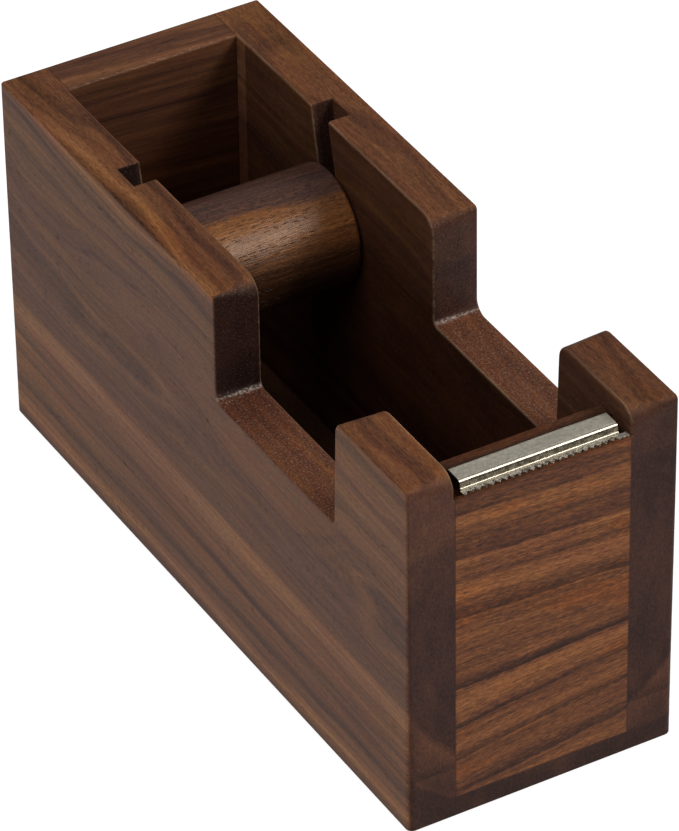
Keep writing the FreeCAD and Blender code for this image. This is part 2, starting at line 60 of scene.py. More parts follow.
WELL_HALF = front_block_high[0]  # from the middle to the inside of a side panel
JOINT_HEIGHT = front_block_low[2]  # where the blocks stand on the base board
CASE_TOP = panel_high[2]
CASE_FRONT = front_block_low[1]
BACK_WALL = back_block_low[1]
LOW_TOP = 53.9  # top of the low section
STEP_FRONT = -6.7  # where the tall back section starts
CREASE_Y = STEP_FRONT - 0.55  # dust and a painted highlight lie here, in the hollow corner between the two
CREASE_Z = LOW_TOP + 0.55
LEDGE_TOP = 71.5  # where the blade's lip lies
SLOT_REACH = (axle_high[0] - WELL_HALF) / 2  # half of the axle's way into a side panel
SLOT_MIDDLE = WELL_HALF + SLOT_REACH + 0.5  # the middle of the dark part of a slot's walls


# ---------------------------------------------------------------- writing materials


class Graph:
    """Adds shader nodes to one new material, so that a value can be written almost like a formula."""

    def __init__(self, name):
        self.material = bpy.data.materials.new(name)
        self.material.use_nodes = True
        self.tree = self.material.node_tree
        self.tree.nodes.clear()

    def node(self, kind, **settings):
        """One node, with its plain settings."""
        made = self.tree.nodes.new(f"ShaderNode{kind}")
        for key, value in settings.items():
            setattr(made, key, value)
        return made

    def feed(self, socket, value):
        """Join an output to a socket, or set the socket to a constant."""
        if isinstance(value, bpy.types.NodeSocket):
            self.tree.links.new(value, socket)
        else:
            socket.default_value = value

    def math(self, operation, *values):
        """A Math node."""
        made = self.node("Math", operation=operation)
        for socket, value in zip(made.inputs, values):
            self.feed(socket, value)
        return made.outputs[0]

    def add(self, first, second):
        return self.math("ADD", first, second)

    def minus(self, first, second):
        return self.math("SUBTRACT", first, second)

    def times(self, first, second):
        return self.math("MULTIPLY", first, second)

    def per(self, first, second):
        return self.math("DIVIDE", first, second)

    def larger(self, first, second):
        return self.math("MAXIMUM", first, second)

    def size(self, number):
        """A number without its sign."""
        return self.math("ABSOLUTE", number)

    def distance(self, level, upright):
        """How far off a point is, from how far off it is each way."""
        return self.math("SQRT", self.add(self.times(level, level), self.times(upright, upright)))

    def sway(self, noise, reach):
        """A noise about 0.5 turned into a value that sways about nought, by about a quarter of the reach."""
        return self.times(self.minus(noise, 0.5), reach)

    def parts(self, vector):
        """The three numbers of a vector."""
        made = self.node("SeparateXYZ")
        self.feed(made.inputs[0], vector)
        return list(made.outputs)

    def join(self, *numbers):
        """A vector from three numbers."""
        made = self.node("CombineXYZ")
        for socket, value in zip(made.inputs, numbers):
            self.feed(socket, value)
        return made.outputs[0]

    def place(self):
        """Where a point of the surface is on the object, in millimetres."""
        made = self.node("VectorMath", operation="SCALE")
        self.feed(made.inputs[0], self.node("TexCoord").outputs["Object"])
        made.inputs["Scale"].default_value = 1 / MM
        return self.parts(made.outputs[0])

    def spread(self, along_x, along_y, along_z):
        """The place as a vector, counted in features: so many to the millimetre along each axis."""
        made = self.node("VectorMath", operation="MULTIPLY")
        self.feed(made.inputs[0], self.node("TexCoord").outputs["Object"])
        made.inputs[1].default_value = (along_x / MM, along_y / MM, along_z / MM)
        return made.outputs[0]

    def facing(self):
        """How far the surface faces along X, Y and Z, each from -1 to 1."""
        return self.parts(self.node("TexCoord").outputs["Normal"])

    def noise(self, vector, detail=2.0, roughness=0.5):
        """Noise about 0.5 over a vector, one feature to the unit."""
        made = self.node("TexNoise")
        self.feed(made.inputs["Vector"], vector)
        made.inputs["Scale"].default_value = 1.0
        made.inputs["Detail"].default_value = detail
        made.inputs["Roughness"].default_value = roughness
        return made.outputs["Fac"]

    def noise_along(self, number, detail=2.0, roughness=0.5):
        """Noise about 0.5 over one number, one feature to the unit."""
        made = self.node("TexNoise", noise_dimensions="1D")
        self.feed(made.inputs["W"], number)
        made.inputs["Scale"].default_value = 1.0
        made.inputs["Detail"].default_value = detail
        made.inputs["Roughness"].default_value = roughness
        return made.outputs["Fac"]

    def scatter(self, vector):
        """Distance to the nearest of a set of scattered points, one to the unit, and its random number."""
        made = self.node("TexVoronoi")
        self.feed(made.inputs["Vector"], vector)
        made.inputs["Scale"].default_value = 1.0
        return made.outputs["Distance"], self.parts(made.outputs["Color"])[0]

    def step(self, value, low, high, start=0.0, end=1.0):
        """A smooth step of a value between two limits."""
        made = self.node("MapRange", interpolation_type="SMOOTHSTEP")
        for socket, number in zip(made.inputs, (value, low, high, start, end)):
            self.feed(socket, number)
        return made.outputs[0]

    def hump(self, value, middle, below, above):
        """One at the middle, and nought from a distance below it and from a distance above it."""
        rise = self.step(value, middle - below, middle)
        fall = self.step(value, middle, middle + above, 1.0, 0.0)
        return self.times(rise, fall)

    def ramp(self, value, stops):
        """A colour looked up along stops of (position, colour)."""
        made = self.node("ValToRGB")
        self.feed(made.inputs[0], value)
        elements = made.color_ramp.elements
        while len(elements) < len(stops):
            elements.new(1.0)
        for element, (position, colour) in zip(elements, stops):
            element.position = position
            element.color = (*colour, 1.0)
        return made.outputs[0]

    def blend(self, share, first, second, mode="MIX"):
        """Two colours mixed by a share."""
        made = self.node("Mix", data_type="RGBA", blend_type=mode)
        colours = [socket for socket in made.inputs if socket.type == "RGBA"]
        self.feed(made.inputs[0], share)
        for socket, colour in zip(colours, (first, second)):
            self.feed(socket, colour if isinstance(colour, bpy.types.NodeSocket) else (*colour, 1.0))
        return next(socket for socket in made.outputs if socket.type == "RGBA")

    def tint(self, share, colour, by):
        """A colour multiplied by another, to a share."""
        return self.blend(share, colour, by, "MULTIPLY")

    def bump(self, height, depth):
        """A bumped normal: height runs from 0 to 1 over a depth in millimetres."""
        made = self.node("Bump")
        made.inputs["Strength"].default_value = 1.0
        made.inputs["Distance"].default_value = depth * MM
        self.feed(made.inputs["Height"], height)
        return made.outputs[0]

    def shade(self, **values):
        """The Principled shader and the output: returns the finished material."""
        shader = self.node("BsdfPrincipled")
        for key, value in values.items():
            self.feed(shader.inputs[key.replace("_", " ")], value)
        output = self.node("OutputMaterial")
        self.tree.links.new(shader.outputs[0], output.inputs["Surface"])
        return self.material


# ---------------------------------------------------------------- walnut

# Oiled walnut from its darkest to its palest wood.
WALNUT_TONES = [
    (0.05, (0.020, 0.0100, 0.0085)),
    (0.30, (0.050, 0.0235, 0.0165)),
    (0.50, (0.095, 0.0430, 0.0245)),
    (0.70, (0.152, 0.0700, 0.0340)),
    (0.95, (0.250, 0.1250, 0.0580)),
]

# Tints: each is multiplied with the colour under it.
PURPLE_WOOD = (0.88, 0.83, 0.97)
ORANGE_WOOD = (1.18, 0.98, 0.72)
OLIVE_WOOD = (1.10, 1.10, 0.84)
RUSTY_WOOD = (1.02, 0.90, 0.86)
GOLDEN_WOOD = (1.26, 1.00, 0.58)
RED_WOOD = (1.02, 0.80, 0.58)
REDDISH_WOOD = (1.08, 0.90, 0.74)
COOL_WOOD = (0.90, 1.05, 1.35)
CORNER_HIGHLIGHT_TINT = (2.0, 2.1, 2.2)
END_GRAIN = (0.49, 0.45, 0.52)
NEAR_STEP_SHADE = (0.62, 0.50, 0.46)
UNDER_BLADE_SHADE = (0.55, 0.45, 0.45)
SLOT_SHADE = (0.45, 0.40, 0.45)
BACK_WELL_SHADE = (0.43, 0.31, 0.22)
WELL_SHADE = (0.42, 0.33, 0.28)
DEEP_SHADE = (0.38, 0.38, 0.42)
STEP_SHADE = (0.34, 0.28, 0.30)

# Colours that cover what is under them, and the tint of the oil's sheen.
PORE_AND_SHADOW_COLOUR = (0.014, 0.007, 0.005)
GLUE_COLOUR = (0.030, 0.010, 0.008)
DUST_AND_HIGHLIGHT_COLOUR = (0.42, 0.34, 0.29)
RIM_WEAR_AND_HIGHLIGHT_COLOUR = (0.36, 0.24, 0.15)
OIL_SHEEN = (1.0, 0.92, 0.80, 1.0)


class Walnut(Graph):
    """A solid pattern of walnut whose grain runs along one axis, with the noises its pieces are mixed from.

    run is the place along the grain, over the level place across it and rise the height across it.
    """

    def __init__(self, name, run, over, rise):
        super().__init__(name)
        self.x, self.y, self.z = self.place()
        self.face_x, self.face_y, self.face_z = self.facing()
        self.from_middle = self.size(self.x)
        self.run, self.over, self.rise = run(self), over(self), rise(self)
        self.streaks = self.grain_noise(34.0, 1.1, 3.0, 0.6)
        self.hairlines = self.grain_noise(9.0, 0.30, 2.0, 0.6)
        self.fibres = self.grain_noise(1.2, 0.22, 2.0, 0.65)
        self.pores = self.pore_dashes(3.0, 0.34, 0.30)

    def grain_cells(self, length, width):
        """The place counted in cells of one length along the grain and one width across it."""
        return self.join(self.per(self.run, length), self.per(self.over, width), self.per(self.rise, width))

    def grain_noise(self, length, width, detail=2.0, roughness=0.5):
        """Noise with features of one length along the grain and one width across it, in millimetres."""
        return self.noise(self.grain_cells(length, width), detail, roughness)

    def bands(self, rings, spacing, roughness=0.6):
        """Noise over the growth rings, one band to the spacing."""
        return self.noise_along(self.per(rings, spacing), 2.0, roughness)

    def pore_dashes(self, length, width, largest):
        """Short dashes along the grain, closer together in some zones than in others."""
        distance, chance = self.scatter(self.grain_cells(length, width))
        crowding = self.step(self.grain_noise(30.0, 3.5), 0.38, 0.60, 0.30, 1.0)
        reach = self.times(crowding, self.step(chance, 0.30, 0.95, 0.08, largest))
        return self.step(self.per(distance, reach), 0.6, 1.2, 1.0, 0.0)

    def mix_tone(self, *shares):
        """A middling tone swayed by noises, each given as a pair of the noise and its reach."""
        tone = 0.5
        for noise, reach in shares:
            tone = self.add(tone, self.sway(noise, reach))
        return tone

    def ends(self, face):
        """One where the surface faces along an axis, either way."""
        return self.step(self.size(face), 0.45, 0.95)

    def level(self):
        """One where the surface faces up."""
        return self.step(self.face_z, 0.5, 0.8)

    def depth_in_well(self):
        """How strong the painted shade in the well is: least at its rim, and one from half way down."""
        return self.step(self.z, CASE_TOP / 2 + 5.0, CASE_TOP, 1.0, 0.35)

    def finish(self, colour, roughness=0.55, gloss=0.14, pore_share=0.55, relief=0.03, roughening=None):
        """Pores, roughness and relief, and the shader of an oiled surface."""
        colour = self.blend(self.times(self.pores, pore_share), colour, PORE_AND_SHADOW_COLOUR)
        height = self.minus(self.times(self.fibres, 0.4), self.pores)
        if roughening is not None:
            height = self.add(height, roughening)
        uneven = self.add(self.sway(self.fibres, 0.22), self.times(self.pores, 0.2))
        return self.shade(
            Base_Color=colour,
            Roughness=self.add(uneven, roughness),
            Normal=self.bump(height, relief),
            Specular_IOR_Level=gloss,
            Specular_Tint=OIL_SHEEN,
        )


# ---------------------------------------------------------------- the panels and the base


class SideWalnut(Walnut):
    """The walnut of the panels and the base, with the places on them where its colour changes."""

    def __init__(self):
        super().__init__(
            "side_walnut",
            run=lambda w: w.y,
            over=lambda w: w.x,
            rise=lambda w: w.minus(w.z, w.times(w.y, 0.045)),
        )
        outward = self.times(self.face_x, self.math("SIGN", self.x))
        near_well = self.step(self.from_middle, WELL_HALF + 1.2, WELL_HALF + 0.6)
        self.end_grain = self.ends(self.face_y)
        self.low_floor = self.times(self.level(), self.hump(self.z, LOW_TOP, 3.0, 3.0))
        self.well_wall = self.times(self.step(outward, -0.4, -0.8), near_well)
        self.posts = self.times(self.step(self.y, -40.0, -56.0), self.step(self.z, 46.0, 58.0))
        self.ahead_of_back_end = self.step(self.y, -CASE_FRONT - 4.0, -CASE_FRONT - 1.0, 1.0, 0.0)


def side_walnut():
    """The panels and the base: the grain runs along Y, and the rings lie round the middle of the case."""
    w = SideWalnut()
    tone, heart = side_tone(w)
    colour = side_colour(w, tone, heart)
    colour = side_shade(w, colour)
    colour, relief = side_specks(w, colour)
    colour = side_pale_lines(w, colour)
    return w.finish(colour, gloss=0.11, roughening=relief)


def side_tone(w):
    """How pale the panels and the base are, and how far a point is in the dark heart of the tree."""
    pith_height = 41.0
    heart_ring = 32.6
    outer_ring = 42.1
    above_pith = w.minus(w.z, pith_height)
    ripple = w.sway(w.grain_noise(26.0, 4.0), 1.2)

    # growth rings: distance from the pith, wandering more above the pith's height than below it
    looseness = w.step(w.z, 33.0, 48.0, 0.10, 0.6)
    wander = w.times(w.sway(w.grain_noise(60.0, 24.0), 26.0), looseness)
    radius = w.minus(w.distance(w.x, above_pith), w.times(w.x, 0.13))
    ring = w.add(w.add(radius, wander), ripple)
    wide_bands = w.bands(ring, 3.6, 0.55)
    fine_bands = w.bands(ring, 0.8)
    tone = w.mix_tone(
        (wide_bands, 0.80), (fine_bands, 0.28), (w.streaks, 0.40), (w.hairlines, 0.34), (w.fibres, 0.80)
    )

    # end grain is calm and speckled, and so in part are the low section and the walls of the well
    speckle = w.noise(w.spread(2.6, 1.0, 1.6), 3.0, 0.7)
    cloud = w.noise(w.spread(0.22, 0.10, 0.10))
    calm = w.mix_tone((cloud, 0.40), (wide_bands, 0.20), (speckle, 0.80))
    calmness = w.larger(w.end_grain, w.larger(w.times(w.low_floor, 0.6), w.times(w.well_wall, 0.5)))
    tone = w.add(w.times(tone, w.minus(1.0, calmness)), w.times(calm, calmness))

    # inside one ring the wood is dark, and just outside it the palest
    below_pith = w.math("MINIMUM", above_pith, 0.0)
    skew = w.step(w.x, -WELL_HALF, WELL_HALF, 0.11, 0.05)
    true_ring = w.add(w.minus(w.distance(w.x, below_pith), w.times(w.x, skew)), ripple)
    heart_top = w.add(w.add(64.0, w.times(w.x, 0.10)), w.sway(w.streaks, 4.0))
    under_top = w.step(w.minus(w.z, heart_top), -1.6, 1.6, 1.0, 0.0)
    heart = w.times(w.step(true_ring, heart_ring - 0.35, heart_ring + 0.35, 1.0, 0.0), under_top)
    tone = w.add(tone, w.times(w.hump(true_ring, heart_ring + 1.2, 1.0, 5.5), 0.15))
    tone = w.minus(tone, w.times(heart, w.add(0.03, w.times(w.end_grain, 0.09))))

    # a dark line runs low along the panels, sinking a little towards the blade
    sinking = w.minus(w.add(w.z, ripple), w.times(w.y, 0.06))
    tone = w.minus(tone, w.times(w.hump(sinking, 17.0, 0.5, 2.6), 0.16))

    # end grain is darker low down, most of all outside an outer ring and beside the base
    beside_base = w.step(w.z, JOINT_HEIGHT + 1.0, JOINT_HEIGHT - 0.5)
    outermost = w.larger(w.step(true_ring, outer_ring - 0.5, outer_ring + 0.5), beside_base)
    low_dark = w.add(w.times(outermost, 0.18), w.step(w.z, 36.0, 22.0, 0.0, 0.08))
    tone = w.minus(tone, w.times(w.end_grain, low_dark))

    # the left post is paler than the rest, and the right one darker
    tone = w.add(tone, w.times(w.posts, w.step(w.x, -20.0, 20.0, 0.07, -0.09)))
    return w.add(tone, 0.045), heart


def side_colour(w, tone, heart):
    """Patches of purple, olive and rusty wood, more orange low down and along the top; darker end grain."""
    purple = w.step(w.grain_noise(45.0, 9.0), 0.36, 0.64, 0.0, 0.75)
    olive = w.step(w.grain_noise(38.0, 5.0), 0.46, 0.66, 0.0, 0.7)
    rusty = w.step(w.grain_noise(30.0, 3.6), 0.50, 0.36, 0.0, 0.6)
    low_down = w.step(w.z, 34.0, 18.0, 0.0, 0.35)
    along_top = w.step(w.z, CASE_TOP - 3.5, CASE_TOP - 0.3, 0.15, 0.7)
    long_grain = w.minus(1.0, w.end_grain)
    colour = w.ramp(tone, WALNUT_TONES)
    colour = w.tint(w.larger(purple, w.times(heart, 0.65)), colour, PURPLE_WOOD)
    colour = w.tint(w.times(olive, long_grain), colour, OLIVE_WOOD)
    colour = w.tint(w.times(rusty, long_grain), colour, RUSTY_WOOD)
    colour = w.tint(low_down, colour, ORANGE_WOOD)
    colour = w.tint(along_top, colour, ORANGE_WOOD)
    return w.tint(w.end_grain, colour, END_GRAIN)


def side_shade(w, colour):
    """The left step darker, and painted shade in the well and in the axle slots."""
    on_left_step = w.times(w.step(w.x, 10.0, -10.0), w.step(w.y, -20.0, -10.0))
    on_left_step = w.times(w.times(on_left_step, w.end_grain), w.ahead_of_back_end)
    colour = w.tint(on_left_step, colour, STEP_SHADE)

    # painted shade on the walls of the well, though hardly on the posts
    in_shade = w.times(w.well_wall, w.minus(1.0, w.times(w.posts, 0.7)))
    colour = w.tint(w.times(in_shade, w.depth_in_well()), colour, WELL_SHADE)

    # painted shade on the floor of the well, and on its walls low down ahead of the roller
    in_well = w.step(w.from_middle, WELL_HALF + 0.6, WELL_HALF + 0.1)
    on_floor = w.times(w.times(in_well, w.level()), w.step(w.z, 12.0, 9.0))
    low_down = w.times(w.times(w.well_wall, w.step(w.z, 46.0, 16.0)), w.step(w.y, 20.0, -10.0, 0.3, 1.0))
    colour = w.tint(w.larger(on_floor, low_down), colour, DEEP_SHADE)

    # painted shade on the walls of the axle slots
    inside_panel = w.step(w.hump(w.from_middle, SLOT_MIDDLE, SLOT_REACH, SLOT_REACH), 0.0, 0.3)
    below_top = w.step(w.z, CASE_TOP - 0.2, CASE_TOP - 0.7)
    along_well = w.times(w.step(w.y, 10.0, 12.0), w.step(w.y, BACK_WALL, BACK_WALL - 2.0))
    return w.tint(w.times(inside_panel, w.times(below_top, along_well)), colour, SLOT_SHADE)


def side_specks(w, colour):
    """The low section and the steps, cut but not sanded fine: open pores and dust show as specks."""
    near_step = w.times(w.step(w.y, -30.0, CREASE_Y), w.step(w.x, 20.0, -20.0, 0.3, 1.0))
    colour = w.tint(w.low_floor, colour, REDDISH_WOOD)
    # painted shade on the low section close to the step
    colour = w.tint(w.times(w.low_floor, near_step), colour, NEAR_STEP_SHADE)

    on_step = w.times(w.end_grain, w.step(w.y, CASE_FRONT + 12.0, CASE_FRONT + 16.0))
    unsanded = w.times(w.larger(w.low_floor, on_step), w.ahead_of_back_end)
    specks = w.noise(w.spread(2.8, 2.4, 2.8), 3.0, 0.75)
    pale_share = w.step(w.face_z, 0.3, 0.7, 0.10, 0.4)
    dark_specks = w.times(unsanded, w.step(specks, 0.34, 0.46, 0.5, 0.0))
    pale_specks = w.times(w.times(unsanded, pale_share), w.step(specks, 0.54, 0.70))
    colour = w.blend(dark_specks, colour, PORE_AND_SHADOW_COLOUR)
    colour = w.blend(pale_specks, colour, DUST_AND_HIGHLIGHT_COLOUR)
    return colour, w.times(w.times(unsanded, specks), 2.0)


def side_pale_lines(w, colour):
    """Dust and a painted highlight in the hollow corners of the steps, a painted highlight down a strip by
    the back block, and the rims of the well, pale from sanding and from a painted highlight.
    """
    # dust along the hollow corner at the foot of each step, with a painted highlight along it
    from_crease = w.larger(w.size(w.minus(w.y, CREASE_Y)), w.size(w.minus(w.z, CREASE_Z)))
    ragged = w.noise(w.spread(1.8, 3.0, 3.0), 2.0, 0.6)
    dust = w.times(w.step(from_crease, 0.10, 0.50, 1.0, 0.0), w.step(ragged, 0.40, 0.62, 0.05, 0.6))
    colour = w.blend(dust, colour, DUST_AND_HIGHLIGHT_COLOUR)

    # a painted highlight down the right panel, where it meets the back block, as a rounded corner would
    # catch
    past_strip_start = w.step(w.y, BACK_WALL - 3.4, BACK_WALL - 3.0)
    ahead_of_joint = w.step(w.y, BACK_WALL + 0.3, BACK_WALL)
    on_right_wall = w.times(w.step(w.x, 0.0, 10.0), w.step(w.x, WELL_HALF + 0.3, WELL_HALF + 0.1))
    colour = w.tint(w.times(w.times(past_strip_start, ahead_of_joint), on_right_wall), colour, CORNER_HIGHLIGHT_TINT)

    # the sanded rims of the well, pale from wear and from a painted highlight, along the tops and down the
    # steps and the posts
    ahead_of_block = w.step(w.y, BACK_WALL + 0.3, BACK_WALL - 0.3)
    down_steps = w.times(w.size(w.face_y), w.step(w.y, CASE_FRONT + 2.0, CASE_FRONT + 4.0))
    facing_out = w.step(w.larger(w.face_z, down_steps), 0.2, 0.5)
    rim = w.hump(w.minus(w.from_middle, WELL_HALF), 0.22, 0.3, 0.3)
    rim = w.times(rim, w.times(facing_out, ahead_of_block))
    return w.blend(w.times(rim, w.step(w.streaks, 0.3, 0.7, 0.08, 0.4)), colour, RIM_WEAR_AND_HIGHLIGHT_COLOUR)


# ---------------------------------------------------------------- the blocks and the roller


def front_block_walnut():
    """The block under the blade: the grain runs across, rising to the right low down and falling above."""

    def rise(w):
        slope = w.step(w.z, 14.0, 50.0, 0.12, -0.065)
        return w.minus(w.z, w.times(slope, w.x))

    w = Walnut("front_block_walnut", run=lambda w: w.x, over=lambda w: w.y, rise=rise)
    swayed = w.add(w.rise, w.sway(w.grain_noise(24.0, 7.0), 3.0))
    tone = w.mix_tone(
        (w.bands(swayed, 4.2), 0.60),
        (w.bands(swayed, 0.62), 0.20),
        (w.streaks, 0.40),
        (w.hairlines, 0.34),
        (w.fibres, 1.15),
    )
    tone = w.minus(tone, front_block_dark_lines(w))

    # paler round two heights, darker round a third
    for height, change in ((50.0, 0.16), (26.8, 0.08), (9.0, -0.09)):
        tone = w.add(tone, w.times(w.hump(swayed, height, 4.0, 4.5), change))
    patches = w.grain_noise(26.0, 4.5)
    colour = w.tint(1.0, w.ramp(w.add(tone, 0.07), WALNUT_TONES), RED_WOOD)
    colour = w.tint(w.step(patches, 0.50, 0.68, 0.0, 0.8), colour, PURPLE_WOOD)
    colour = w.tint(w.step(patches, 0.50, 0.32, 0.0, 0.9), colour, ORANGE_WOOD)

    # painted shade, darker close under the blade
    painted_shade_under_blade = w.step(w.z, LEDGE_TOP - 1.2, LEDGE_TOP - 0.3, 0.0, 0.7)
    colour = w.tint(painted_shade_under_blade, colour, UNDER_BLADE_SHADE)

    # the saw-cut ridge behind the blade is tinted darker, with painted shadow darkest against the blade
    on_ridge = w.times(w.level(), w.step(w.z, LEDGE_TOP + 0.3, LEDGE_TOP + 0.6))
    clear_of_blade_shadow = w.step(w.y, blade_high[1] + 0.6, blade_high[1] + 2.4, 0.1, 0.7)
    colour = w.tint(on_ridge, colour, COOL_WOOD)
    colour = w.blend(w.times(on_ridge, w.minus(1.0, clear_of_blade_shadow)), colour, PORE_AND_SHADOW_COLOUR)

    # a thin dark glue line along the side panels and the base board
    from_side = w.minus(WELL_HALF, w.from_middle)
    from_base = w.minus(w.z, JOINT_HEIGHT)
    glue = w.step(w.math("MINIMUM", from_side, from_base), 0.10, 0.32, 0.75, 0.0)
    colour = w.blend(glue, colour, GLUE_COLOUR)
    return w.finish(colour, roughness=0.52, gloss=0.11)


def front_block_dark_lines(w):
    """Broken lines of late wood, crisp on their lower side and soft on their upper side."""
    swayed = w.add(w.rise, w.sway(w.grain_noise(22.0, 9.0), 2.4))
    broken = w.step(w.grain_noise(18.0, 5.0), 0.30, 0.56, 0.45, 1.0)
    darkening = 0.0
    for height, below, above, depth in (
        (67.4, 0.50, 3.2, 0.30),
        (57.2, 0.35, 3.0, 0.40),
        (44.6, 0.35, 3.0, 0.40),
        (30.6, 0.35, 3.6, 0.42),
        (23.2, 0.30, 1.2, 0.32),
        (16.2, 0.30, 1.8, 0.32),
        (8.6, 0.40, 2.2, 0.26),
    ):
        line = w.times(w.hump(swayed, height, below, above), broken)
        darkening = w.add(darkening, w.times(line, depth))
    return darkening


def back_block_walnut():
    """The block at the back: the grain runs across and is nearly level."""
    w = Walnut(
        "back_block_walnut",
        run=lambda w: w.x,
        over=lambda w: w.y,
        rise=lambda w: w.add(w.z, w.times(w.x, 0.05)),
    )
    swayed = w.add(w.add(w.rise, w.times(w.y, 0.7)), w.sway(w.grain_noise(30.0, 9.0), 5.0))
    tone = w.mix_tone(
        (w.bands(swayed, 5.0), 0.75),
        (w.bands(swayed, 0.7), 0.26),
        (w.streaks, 0.55),
        (w.hairlines, 0.36),
        (w.fibres, 0.36),
    )
    purple = w.step(w.grain_noise(26.0, 5.0), 0.42, 0.60, 0.0, 0.8)
    colour = w.ramp(tone, WALNUT_TONES)
    colour = w.tint(purple, colour, PURPLE_WOOD)
    colour = w.tint(0.5, colour, ORANGE_WOOD)

    # painted shade on the face in the well
    faces_well = w.step(w.face_y, -0.4, -0.8)
    colour = w.tint(w.times(faces_well, w.depth_in_well()), colour, BACK_WELL_SHADE)

    # a thin dark glue line along the side panels
    glue = w.step(w.minus(WELL_HALF, w.from_middle), 0.10, 0.30, 0.6, 0.0)
    colour = w.blend(glue, colour, GLUE_COLOUR)

    # the sanded rim of the well, pale from wear and from a painted highlight
    rim = w.times(w.hump(w.minus(w.y, BACK_WALL), 0.2, 0.3, 0.35), w.step(w.face_z, 0.2, 0.5))
    colour = w.blend(w.times(rim, w.step(w.fibres, 0.46, 0.66, 0.0, 0.3)), colour, RIM_WEAR_AND_HIGHLIGHT_COLOUR)
    return w.finish(colour)


def roller_walnut():
    """The turned roller: purple-brown on one side, golden on the other, with painted shade on its lower
    front, open pores and some gloss.
    """
    w = Walnut("roller_walnut", run=lambda w: w.x, over=lambda w: w.y, rise=lambda w: w.z)
    centre_y = (roller_low[1] + roller_high[1]) / 2
    centre_z = (roller_low[2] + roller_high[2]) / 2
    ahead = w.minus(centre_y, w.y)
    above = w.minus(w.z, centre_z)
    across = w.add(w.add(above, w.times(ahead, -0.75)), w.times(w.x, 0.10))
    swayed = w.add(across, w.sway(w.grain_noise(24.0, 6.0), 3.0))
    golden = w.step(w.add(swayed, w.sway(w.streaks, 4.0)), 6.8, 9.0, 1.0, 0.0)
    # painted shade, deepening towards the lower front of the roller
    darkest = w.step(swayed, 0.5, -10.0, 0.0, 0.46)
    tone = w.mix_tone((w.bands(swayed, 2.4), 0.35), (w.streaks, 0.50), (w.hairlines, 0.50), (w.fibres, 0.80))
    tone = w.minus(w.add(w.minus(tone, 0.10), w.times(golden, 0.22)), darkest)
    colour = w.ramp(tone, WALNUT_TONES)
    colour = w.tint(w.minus(1.0, golden), colour, PURPLE_WOOD)
    colour = w.tint(golden, colour, GOLDEN_WOOD)
    colour = w.tint(w.ends(w.face_x), colour, END_GRAIN)
    w.pores = w.larger(w.pores, w.pore_dashes(2.2, 0.26, 0.44))
    uneven = w.times(w.hairlines, 0.8)
    return w.finish(colour, roughness=0.35, gloss=0.40, pore_share=0.6, relief=0.09, roughening=uneven)


# ---------------------------------------------------------------- steel, beech and rubber

# The steels, the rubber and the beech, each from dark to pale.
SHEET_TONES = [(0.25, (0.61, 0.56, 0.46)), (0.75, (0.88, 0.82, 0.70))]
ROD_TONES = [(0.3, (0.42, 0.42, 0.42)), (0.7, (0.62, 0.62, 0.63))]
RUBBER_TONES = [(0.35, (0.012, 0.012, 0.012)), (0.75, (0.045, 0.043, 0.040))]
BEECH_TONES = [(0.25, (0.42, 0.26, 0.14)), (0.75, (0.62, 0.43, 0.26))]

BEND_SHADE = (0.62, 0.59, 0.54)
FOLD_SHADE_COLOUR = (0.05, 0.042, 0.028)
TEETH_DARK_COLOUR = (0.09, 0.07, 0.06)
PAINTED_GLINT_COLOUR = (0.95, 0.90, 0.85)


def blade_steel():
    """Satin sheet, drawn along its length, with painted shade off its level faces and in the fold, and
    darker patches and painted glints at the teeth.
    """
    g = Graph("blade_steel")
    _, y, z = g.place()
    face_z = g.facing()[2]
    drawn = g.noise(g.spread(0.06, 6.0, 6.0), 3.0, 0.6)
    mottle = g.noise(g.spread(1.1, 1.6, 1.6), 3.0, 0.7)
    grey = g.add(0.5, g.add(g.sway(drawn, 0.3), g.sway(mottle, 0.9)))
    colour = g.ramp(grey, SHEET_TONES)
    # painted shade on every face that is not level, which dims the highlights on the bends
    colour = g.tint(g.step(face_z, 0.99, 0.90), colour, BEND_SHADE)

    # painted shade on the riser, which lies in the shade of the flat
    above_lip = g.step(z, LEDGE_TOP + 0.55, LEDGE_TOP + 0.7)
    below_flat = g.step(z, blade_high[2] - 0.28, blade_high[2] - 0.42)
    in_fold = g.times(g.times(above_lip, below_flat), g.step(face_z, 0.8, 0.6))
    fold_share = g.step(mottle, 0.4, 0.6, 0.97, 0.75)
    colour = g.blend(g.times(in_fold, fold_share), colour, FOLD_SHADE_COLOUR)

    # the toothed edge of the lip is darker in patches, with painted glints
    on_lip = g.step(z, LEDGE_TOP + 0.9, LEDGE_TOP + 0.5)
    at_teeth = g.times(on_lip, g.step(y, blade_low[1] + 1.4, blade_low[1] + 0.8))
    teeth_patches = g.noise(g.spread(1.9, 2.4, 2.4), 3.0, 0.7)
    colour = g.blend(g.times(at_teeth, g.step(teeth_patches, 0.46, 0.56, 0.0, 0.85)), colour, TEETH_DARK_COLOUR)
    colour = g.blend(g.times(at_teeth, g.step(teeth_patches, 0.42, 0.34, 0.0, 0.8)), colour, PAINTED_GLINT_COLOUR)

    satin = g.step(face_z, 0.93, 0.99, 0.34, 0.50)
    roughness = g.add(satin, g.add(g.sway(drawn, 0.2), g.sway(mottle, 0.16)))
    height = g.add(g.times(drawn, 0.4), g.times(g.times(at_teeth, teeth_patches), 4.0))
    return g.shade(Base_Color=colour, Metallic=1.0, Roughness=roughness, Normal=g.bump(height, 0.02))


